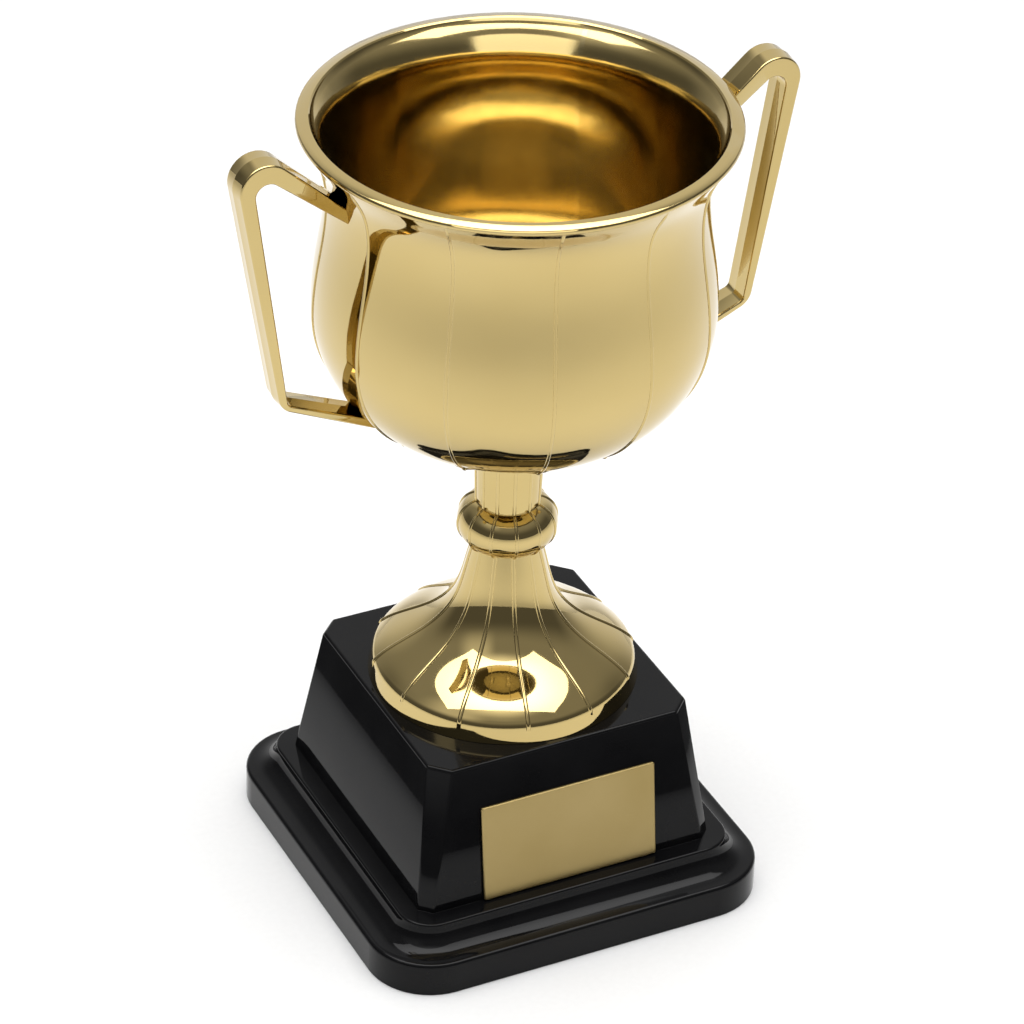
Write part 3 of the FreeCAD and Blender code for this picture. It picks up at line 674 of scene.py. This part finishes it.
def low_tier_outline():
    """(inset, z) of the lower tier from its underside rim up to the foot of the upper tier."""
    cove_low = (SHOULDER_R, SHOULDER_Z)
    cove_top = (LEDGE_INSET, LEDGE_Z - LEDGE_EDGE_R)
    reach = cove_top[0] - cove_low[0]
    rise = cove_top[1] - cove_low[1]
    turns = np.radians(np.linspace(0, 90, 19))
    cove = [(cove_low[0] + reach * math.sin(a), cove_top[1] - rise * math.cos(a)) for a in turns]
    shoulder = arc((SHOULDER_R, SHOULDER_Z - SHOULDER_R), SHOULDER_R, 180, 90)
    ledge = arc((LEDGE_INSET + LEDGE_EDGE_R, LEDGE_Z - LEDGE_EDGE_R), LEDGE_EDGE_R, 180, 90)
    flat = (LEDGE_INSET + LEDGE_EDGE_R + SUPPORT, LEDGE_Z)
    base = [(PAD_RIM, 0.0), (UNDER_EDGE_R + SUPPORT, 0.0)]
    base += arc((UNDER_EDGE_R, UNDER_EDGE_R), UNDER_EDGE_R, 270, 180)
    return base + [(0.0, SHOULDER_Z - SHOULDER_R - SUPPORT)] + shoulder + cove[1:] + ledge[1:] + [flat]


def make_plinth(material):
    half = PLINTH_SIDE / 2
    rings = []
    inner_z = TIER_TOP_Z - PLINTH_WALL
    top_half = TIER_TOP_SIDE / 2 - PLINTH_WALL + tier_slope * PLINTH_WALL
    foot_half = TIER_FOOT_SIDE / 2 - PLINTH_WALL
    ledge_low = LEDGE_Z - PLINTH_WALL
    for inset, z in ((PLINTH_WALL, inner_z), (0.0, inner_z)):
        rings.append(ring(quarter_of_octagon(top_half - inset, TIER_TOP_CHAMFER, TIER_CORNER_R), z))
    rings.append(ring(quarter_of_octagon(foot_half, TIER_FOOT_CHAMFER, TIER_CORNER_R), ledge_low))
    inside = [
        (PLINTH_LOW_WALL + LEDGE_INSET - 1.0, ledge_low),
        (PLINTH_LOW_WALL, SHOULDER_Z - PLINTH_WALL),
        (PLINTH_LOW_WALL, PAD_T),
        (PAD_RIM, PAD_T),
    ]
    for inset, z in inside + low_tier_outline():
        rings.append(ring(quarter_of_square(half - inset, PLINTH_CORNER_R - inset), z))
    foot = TIER_FOOT_SIDE / 2
    top = TIER_TOP_SIDE / 2
    rings.append(ring(quarter_of_octagon(foot + SUPPORT, TIER_FOOT_CHAMFER, TIER_CORNER_R), LEDGE_Z))
    rings.append(ring(quarter_of_octagon(foot, TIER_FOOT_CHAMFER, TIER_CORNER_R), LEDGE_Z))
    edge = TIER_TOP_EDGE_R
    for drop in (LEDGE_Z + SUPPORT, TIER_TOP_Z - edge - SUPPORT):
        share = (drop - LEDGE_Z) / (TIER_TOP_Z - LEDGE_Z)
        leg = TIER_FOOT_CHAMFER + (TIER_TOP_CHAMFER - TIER_FOOT_CHAMFER) * share
        rings.append(ring(quarter_of_octagon(foot + (top - foot) * share, leg, TIER_CORNER_R), drop))
    for degrees in np.linspace(0, 90, 7):
        inset = edge * (1 - math.cos(math.radians(degrees)))
        z = TIER_TOP_Z - edge + edge * math.sin(math.radians(degrees))
        leg = TIER_TOP_CHAMFER - inset * (2 - math.sqrt(2))
        rings.append(ring(quarter_of_octagon(top - inset, leg, TIER_CORNER_R - inset), z))
    leg = TIER_TOP_CHAMFER - (edge + SUPPORT) * (2 - math.sqrt(2))
    rings.append(ring(quarter_of_octagon(top - edge - SUPPORT, leg, TIER_CORNER_R - edge), TIER_TOP_Z))
    return skin_rings("plinth_moulding", rings, material, "plinth_shell")


def quarter_of_plate(width, height, corner):
    """One corner of a rounded oblong centred on the origin."""
    turns = [math.radians(90 * k / CORNER_SAMPLES) for k in range(CORNER_SAMPLES + 1)]
    x = width / 2 - corner
    y = height / 2 - corner
    return [(x + corner * math.cos(a), y + corner * math.sin(a)) for a in turns]


def plate_ring(width, height, corner, z):
    """The outline of a rounded oblong at height z."""
    quarter = quarter_of_plate(width, height, corner)
    points = [(x, y, z) for x, y in quarter]
    points += [(-x, y, z) for x, y in quarter[::-1]]
    points += [(-x, -y, z) for x, y in quarter]
    points += [(x, -y, z) for x, y in quarter[::-1]]
    return points


def plate_piece(name, size, corner, bevel, material, node):
    """A flat plate (width, height, thickness) on z = 0 whose upper edge is bevelled all round."""
    width, height, thickness = size
    levels = [
        (bevel / 2 + SUPPORT, 0.0),
        (bevel / 2, 0.0),
        (0.0, bevel / 2),
        (0.0, bevel / 2 + SUPPORT),
        (0.0, thickness - bevel - SUPPORT),
        (0.0, thickness - bevel),
        (bevel * 0.15, thickness - bevel * 0.85),
        (bevel * 0.85, thickness - bevel * 0.15),
        (bevel, thickness),
        (bevel + SUPPORT, thickness),
    ]
    rings = []
    for inset, z in levels:
        rings.append(plate_ring(width - 2 * inset, height - 2 * inset, max(corner - inset, 0.1), z))
    return skin_rings(name, rings, material, node)


def make_plaque(material):
    size = (PLAQUE_W, PLAQUE_H, PLAQUE_T)
    corner = PLAQUE_CORNER_R
    plaque = plate_piece("name_plate", size, corner, PLAQUE_BEVEL, material, "plaque")
    lift = Matrix.Translation(Vector((0, PLAQUE_LIFT + PLAQUE_H / 2, TAPE_T)) * MM)
    stand = Matrix.Rotation(math.pi / 2 - tier_tilt, 4, "X")
    place = Matrix.Translation(Vector((0, -TIER_FOOT_SIDE / 2, LEDGE_Z)) * MM)
    plaque.data.transform(place @ stand @ lift)
    return plaque


def make_pad(material):
    size = (PAD_SIDE, PAD_SIDE, PAD_T)
    corner = PLINTH_CORNER_R - PAD_RIM
    pad = plate_piece("felt_pad", size, corner, PAD_EDGE, material, "base_pad")
    return pad


# ---- materials --------------------------------------------------------------------------

GOLD_DEEP = (0.54, 0.41, 0.165)
GOLD_PALE = (0.565, 0.435, 0.183)
# Paler gold for the painted highlight along convex edges and rib crests
GOLD_EDGE_HIGHLIGHT = (0.6, 0.49, 0.26)
SATIN_FADE = 22.0
SATIN_TOP_Z = 150.0


class Look:
    """A procedural material and short ways to add nodes to it."""

    def __init__(self, name, colour, metallic, roughness):
        self.material = bpy.data.materials.new(name)
        self.material.use_nodes = True
        self.tree = self.material.node_tree
        self.shader = self.tree.nodes["Principled BSDF"]
        self.shader.inputs["Base Color"].default_value = (*colour, 1)
        self.shader.inputs["Metallic"].default_value = metallic
        self.shader.inputs["Roughness"].default_value = roughness
        self.place = self.add("ShaderNodeTexCoord").outputs["Object"]

    def add(self, kind, **settings):
        made = self.tree.nodes.new(kind)
        for key, value in settings.items():
            setattr(made, key, value)
        return made

    def join(self, output, target):
        self.tree.links.new(output, target)

    def noise(self, size_mm, detail=3.0, stretch=(1, 1, 1)):
        """Noise whose features are about size_mm across, stretched along the axes."""
        mapping = self.add("ShaderNodeMapping")
        mapping.inputs["Scale"].default_value = stretch
        texture = self.add("ShaderNodeTexNoise")
        texture.inputs["Scale"].default_value = 1 / (size_mm * MM)
        texture.inputs["Detail"].default_value = detail
        self.join(self.place, mapping.inputs["Vector"])
        self.join(mapping.outputs["Vector"], texture.inputs["Vector"])
        return texture.outputs["Fac"]

    def spread(self, value, low, high, new_low, new_high):
        """value stretched from low..high to new_low..new_high, and held there."""
        scale = self.add("ShaderNodeMapRange")
        ends = {"From Min": low, "From Max": high, "To Min": new_low, "To Max": new_high}
        for key, number in ends.items():
            scale.inputs[key].default_value = number
        self.join(value, scale.inputs["Value"])
        return scale.outputs["Result"]

    def combine(self, operation, first, second):
        maths = self.add("ShaderNodeMath", operation=operation)
        for slot, value in enumerate((first, second)):
            if isinstance(value, (int, float)):
                maths.inputs[slot].default_value = value
            else:
                self.join(value, maths.inputs[slot])
        return maths.outputs["Value"]

    def tint(self, factor, first, second):
        """Colour between first and second by factor."""
        mix = self.add("ShaderNodeMix", data_type="RGBA")
        self.join(factor, mix.inputs["Factor"])
        for key, value in (("A", first), ("B", second)):
            socket = next(s for s in mix.inputs if s.name == key and s.type == "RGBA")
            if isinstance(value, tuple):
                socket.default_value = (*value, 1)
            else:
                self.join(value, socket)
        return next(s for s in mix.outputs if s.type == "RGBA")

    def bump(self, height, depth_mm, strength=1.0):
        relief = self.add("ShaderNodeBump")
        relief.inputs["Distance"].default_value = depth_mm * MM
        relief.inputs["Strength"].default_value = strength
        self.join(height, relief.inputs["Height"])
        self.join(relief.outputs["Normal"], self.shader.inputs["Normal"])


def gold_look(name="gold_plating", satin_below=None):
    """Mirror gold plating under clear lacquer, with a painted highlight of paler gold on convex edges and
    rib crests; below satin_below, in mm, it turns satin.
    """
    look = Look(name, GOLD_DEEP, 1.0, 0.05)
    look.shader.inputs["Coat Weight"].default_value = 0.25
    look.shader.inputs["Coat Roughness"].default_value = 0.03
    drift = look.noise(38, 2)
    smudge = look.noise(5, 6)
    grain = look.noise(0.35, 2)
    plated = look.tint(look.spread(drift, 0.35, 0.65, 0, 1), GOLD_DEEP, GOLD_PALE)
    # Painted highlight: the base colour turns paler gold where pointiness marks convex edges and rib crests
    edge_highlight = look.spread(look.add("ShaderNodeNewGeometry").outputs["Pointiness"], 0.52, 0.6, 0, 0.35)
    look.join(look.tint(edge_highlight, plated, GOLD_EDGE_HIGHLIGHT), look.shader.inputs["Base Color"])
    dull = look.spread(smudge, 0.45, 0.8, 0.03, 0.085)
    ripple = look.combine("ADD", look.noise(9, 1), look.combine("MULTIPLY", grain, 0.02))
    if satin_below is not None:
        split = look.add("ShaderNodeSeparateXYZ")
        look.join(look.place, split.inputs["Vector"])
        low, high = (satin_below - SATIN_FADE) * MM, satin_below * MM
        satin = look.spread(split.outputs["Z"], low, high, 1, 0)
        dull = look.combine("ADD", look.combine("ADD", dull, 0.07), look.combine("MULTIPLY", satin, 0.1))
        ripple = look.combine("ADD", ripple, look.combine("MULTIPLY", satin, look.noise(0.7, 2)))
    look.join(dull, look.shader.inputs["Roughness"])
    look.bump(ripple, 0.035)
    return look.material


def black_look():
    look = Look("black_plastic", (0.004, 0.004, 0.0045), 0.0, 0.07)
    look.shader.inputs["Specular IOR Level"].default_value = 0.15
    haze = look.noise(14, 5)
    dust = look.noise(0.5, 3)
    speck = look.spread(dust, 0.72, 0.8, 0, 0.35)
    cloud = look.tint(look.spread(haze, 0.3, 0.7, 0, 1), (0.0035, 0.0035, 0.004), (0.006, 0.006, 0.0065))
    look.join(look.tint(speck, cloud, (0.018, 0.018, 0.018)), look.shader.inputs["Base Color"])
    scuff = look.noise(3, 4, (1, 1, 6))
    cloudy = look.spread(haze, 0.3, 0.7, 0.05, 0.09)
    rough = look.combine("ADD", cloudy, look.spread(scuff, 0.66, 0.85, 0, 0.06))
    look.join(rough, look.shader.inputs["Roughness"])
    look.bump(look.combine("ADD", look.noise(12, 1), look.combine("MULTIPLY", dust, 0.03)), 0.02)
    return look.material


def plaque_look():
    look = Look("plaque_brass", (0.36, 0.27, 0.11), 1.0, 0.38)
    brushed = look.noise(0.25, 3, (1, 14, 14))
    patch = look.noise(22, 3)
    tone = look.tint(look.spread(patch, 0.3, 0.7, 0, 1), (0.35, 0.262, 0.105), (0.4, 0.305, 0.135))
    streak = look.spread(brushed, 0.3, 0.7, 0, 0.3)
    look.join(look.tint(streak, tone, (0.32, 0.235, 0.09)), look.shader.inputs["Base Color"])
    look.join(look.spread(brushed, 0.3, 0.7, 0.32, 0.46), look.shader.inputs["Roughness"])
    look.bump(brushed, 0.004)
    return look.material


def zinc_look():
    look = Look("zinc_steel", (0.6, 0.61, 0.62), 1.0, 0.28)
    spangle = look.noise(1.6, 4)
    look.join(
        look.tint(look.spread(spangle, 0.3, 0.7, 0, 1), (0.5, 0.51, 0.52), (0.68, 0.685, 0.66)),
        look.shader.inputs["Base Color"],
    )
    look.join(look.spread(spangle, 0.3, 0.7, 0.2, 0.42), look.shader.inputs["Roughness"])
    look.bump(spangle, 0.01)
    return look.material


def iron_look():
    look = Look("weight_iron", (0.13, 0.125, 0.12), 0.6, 0.7)
    casting = look.noise(1.2, 6)
    rust = look.spread(look.noise(9, 4), 0.58, 0.72, 0, 0.6)
    cast = look.tint(look.spread(casting, 0.3, 0.7, 0, 1), (0.09, 0.087, 0.084), (0.17, 0.163, 0.155))
    look.join(look.tint(rust, cast, (0.2, 0.085, 0.035)), look.shader.inputs["Base Color"])
    look.join(look.spread(casting, 0.3, 0.7, 0.55, 0.85), look.shader.inputs["Roughness"])
    look.bump(casting, 0.25)
    return look.material


def felt_look():
    look = Look("pad_felt", (0.018, 0.019, 0.021), 0.0, 0.95)
    look.shader.inputs["Sheen Weight"].default_value = 0.35
    fibre = look.noise(0.4, 6, (1, 3, 1))
    crossed = look.noise(0.4, 6, (3, 1, 1))
    matted = look.combine("ADD", fibre, crossed)
    look.join(
        look.tint(look.spread(matted, 0.7, 1.3, 0, 1), (0.010, 0.011, 0.012), (0.035, 0.036, 0.04)),
        look.shader.inputs["Base Color"],
    )
    look.join(look.spread(matted, 0.7, 1.3, 0.85, 1.0), look.shader.inputs["Roughness"])
    look.bump(matted, 0.3)
    return look.material


def tape_look():
    look = Look("foam_tape", (0.7, 0.69, 0.64), 0.0, 0.8)
    cells = look.noise(0.6, 3)
    look.join(
        look.tint(look.spread(cells, 0.3, 0.7, 0, 1), (0.6, 0.59, 0.54), (0.78, 0.77, 0.73)),
        look.shader.inputs["Base Color"],
    )
    look.join(look.spread(cells, 0.3, 0.7, 0.7, 0.9), look.shader.inputs["Roughness"])
    look.bump(cells, 0.05)
    return look.material


def floor_look():
    look = Look("floor_paper", (0.9, 0.9, 0.9), 0.0, 0.75)
    fibre = look.noise(1.5, 4)
    look.join(
        look.tint(look.spread(fibre, 0.3, 0.7, 0, 1), (0.885, 0.885, 0.885), (0.905, 0.905, 0.905)),
        look.shader.inputs["Base Color"],
    )
    look.shader.inputs["Specular IOR Level"].default_value = 0.1
    return look.material


def paint_node(node, material):
    """A carried-over CAD node gets a procedural material; its mesh stays as it is."""
    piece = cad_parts[node]
    piece.data.materials.clear()
    piece.data.materials.append(material)


# ---- stage ------------------------------------------------------------------------------

FLOOR_SIDE = 8.0
VIEW_CLIP_END = 10.0
VIEW_AZIMUTH = -26.94
VIEW_ELEVATION = 33.76
VIEW_ROLL = 1.858
VIEW_DISTANCE = 1.10505
VIEW_TARGET_Z = 0.09365
VIEW_LENS = 167.44
VIEW_SHIFT = (0.0044, 0.0024)

# Surroundings, as brightness by direction. Azimuth 0 is the viewer's side; each patch is
# (level, middle azimuth, half width, lowest and highest elevation, softness of its edges),
# later ones on top.
WALL_LEVEL = 0.9
PATCHES = [
    (0.34, 0.0, 142.0, -30.0, 66.0, 26.0),
    (0.12, 0.0, 120.0, -30.0, 30.0, 30.0),
    (0.8, -50.0, 24.0, 40.0, 74.0, 30.0),
    (2.4, 0.0, 400.0, 68.0, 140.0, 22.0),
]
LAMP_WIDTH = 0.9
LAMP_DEPTH = 0.5
LAMP_Z = 0.72
LAMP_FORWARD = 0.03
LAMP_RADIANCE = 3.4
LAMP_TILT = 0.0
CARD_WIDTH = 0.8
CARD_HEIGHT = 0.6
CARD_DISTANCE = 0.7
CARD_Z = 0.5
CARD_RADIANCE = 1.7
CARD_TILT = 75.0


def make_floor(material):
    half = FLOOR_SIDE / 2
    mesh = bpy.data.meshes.new("floor")
    corners = [(-half, -half, 0), (half, -half, 0), (half, half, 0), (-half, half, 0)]
    mesh.from_pydata(corners, [], [(0, 1, 2, 3)])
    mesh.materials.append(material)
    floor = bpy.data.objects.new("floor", mesh)
    floor.location.z = cad_low.z
    bpy.context.scene.collection.objects.link(floor)


def make_surroundings():
    """A plain studio: a bright ceiling and pale walls, darker on the viewer's side."""
    world = bpy.data.worlds.new("studio")
    bpy.context.scene.world = world
    world.use_nodes = True
    tree = world.node_tree
    background = tree.nodes["Background"]
    background.inputs["Color"].default_value = (1, 1, 1, 1)
    place = tree.nodes.new("ShaderNodeTexCoord")
    split = tree.nodes.new("ShaderNodeSeparateXYZ")
    turned = tree.nodes.new("ShaderNodeVectorRotate")
    turned.rotation_type = "Z_AXIS"
    turned.inputs["Angle"].default_value = math.radians(-VIEW_AZIMUTH)
    tree.links.new(place.outputs["Generated"], turned.inputs["Vector"])
    tree.links.new(turned.outputs["Vector"], split.inputs["Vector"])

    def maths(operation, first, second=0.0):
        made = tree.nodes.new("ShaderNodeMath")
        made.operation = operation
        for slot, value in enumerate((first, second)):
            if isinstance(value, (int, float)):
                made.inputs[slot].default_value = value
            else:
                tree.links.new(value, made.inputs[slot])
        return made.outputs["Value"]

    def step(value, low, high):
        made = tree.nodes.new("ShaderNodeMapRange")
        made.interpolation_type = "SMOOTHSTEP"
        made.inputs["From Min"].default_value = low
        made.inputs["From Max"].default_value = high
        tree.links.new(value, made.inputs["Value"])
        return made.outputs["Result"]

    elevation = maths("MULTIPLY", maths("ARCSINE", split.outputs["Z"]), 180 / math.pi)
    front = maths("MULTIPLY", split.outputs["Y"], -1.0)
    azimuth = maths("MULTIPLY", maths("ARCTAN2", split.outputs["X"], front), 180 / math.pi)
    level = WALL_LEVEL
    for patch_level, middle, half_width, low, high, softness in PATCHES:
        edge = softness / 2
        beside = maths("ABSOLUTE", maths("SUBTRACT", azimuth, middle))
        across = maths("SUBTRACT", 1.0, step(beside, half_width - edge, half_width + edge))
        above = step(elevation, low - edge, low + edge)
        below = maths("SUBTRACT", 1.0, step(elevation, high - edge, high + edge))
        share = maths("MULTIPLY", across, maths("MULTIPLY", above, below))
        change = maths("MULTIPLY", share, maths("SUBTRACT", patch_level, level))
        level = maths("ADD", level, change)
    direct = tree.nodes.new("ShaderNodeLightPath").outputs["Is Camera Ray"]
    plain_change = maths("MULTIPLY", direct, maths("SUBTRACT", 1.0, level))
    tree.links.new(maths("ADD", level, plain_change), background.inputs["Strength"])


def make_area_light(name, width, height, radiance, place, tilt):
    """A soft rectangular light that the camera doesn't see; tilt 0 shines straight down."""
    data = bpy.data.lights.new(name, "AREA")
    data.shape = "RECTANGLE"
    data.size = width
    data.size_y = height
    data.energy = radiance * math.pi * width * height
    lamp = bpy.data.objects.new(name, data)
    forward, up = place
    azimuth = math.radians(VIEW_AZIMUTH)
    lamp.location = (forward * math.sin(azimuth), -forward * math.cos(azimuth), up)
    lamp.rotation_euler = (math.radians(tilt), 0, azimuth)
    lamp.visible_camera = False
    bpy.context.scene.collection.objects.link(lamp)
    return lamp


def make_lights(bowl):
    """A softbox overhead, and a card before the viewer that is turned on the bowl alone."""
    lamp_place = (LAMP_FORWARD, LAMP_Z)
    card_place = (CARD_DISTANCE, CARD_Z)
    make_area_light("softbox", LAMP_WIDTH, LAMP_DEPTH, LAMP_RADIANCE, lamp_place, LAMP_TILT)
    card = make_area_light("card", CARD_WIDTH, CARD_HEIGHT, CARD_RADIANCE, card_place, CARD_TILT)
    lit = bpy.data.collections.new("lit_by_card")
    lit.objects.link(bowl)
    card.light_linking.receiver_collection = lit


def make_camera():
    azimuth, elevation, roll = (math.radians(a) for a in (VIEW_AZIMUTH, VIEW_ELEVATION, VIEW_ROLL))
    back = Vector(
        (
            math.sin(azimuth) * math.cos(elevation),
            -math.cos(azimuth) * math.cos(elevation),
            math.sin(elevation),
        )
    )
    right = (-back).cross(Vector((0, 0, 1))).normalized()
    up = right.cross(-back)
    rolled_right = right * math.cos(roll) + up * math.sin(roll)
    rolled_up = up * math.cos(roll) - right * math.sin(roll)
    camera = bpy.data.objects.new("camera", bpy.data.cameras.new("camera"))
    bpy.context.scene.collection.objects.link(camera)
    camera.data.lens = VIEW_LENS
    camera.data.shift_x, camera.data.shift_y = VIEW_SHIFT
    camera.data.clip_end = VIEW_CLIP_END
    turn = Matrix((rolled_right, rolled_up, back)).transposed().to_4x4()
    camera.matrix_world = Matrix.Translation(Vector((0, 0, VIEW_TARGET_Z)) + back * VIEW_DISTANCE) @ turn
    bpy.context.scene.camera = camera


# ---- the whole scene --------------------------------------------------------------------

gold = gold_look()
zinc = zinc_look()
bowl = make_bowl(gold, gold_look("gold_plating_inside", SATIN_TOP_Z))
make_stem(gold)
make_foot(gold)
make_handle("handle_strap_right", 1, gold, "handle_right")
make_handle("handle_strap_left", -1, gold, "handle_left")
make_plinth(black_look())
make_plaque(plaque_look())
make_pad(felt_look())
for fastener in ("tie_rod", "bowl_insert", "base_washer", "base_nut"):
    paint_node(fastener, zinc)
paint_node("plinth_weight", iron_look())
paint_node("plaque_tape", tape_look())
make_floor(floor_look())
make_surroundings()
make_lights(bowl)
make_camera()
bpy.context.scene.view_settings.view_transform = "Standard"

bpy.context.view_layer.update()
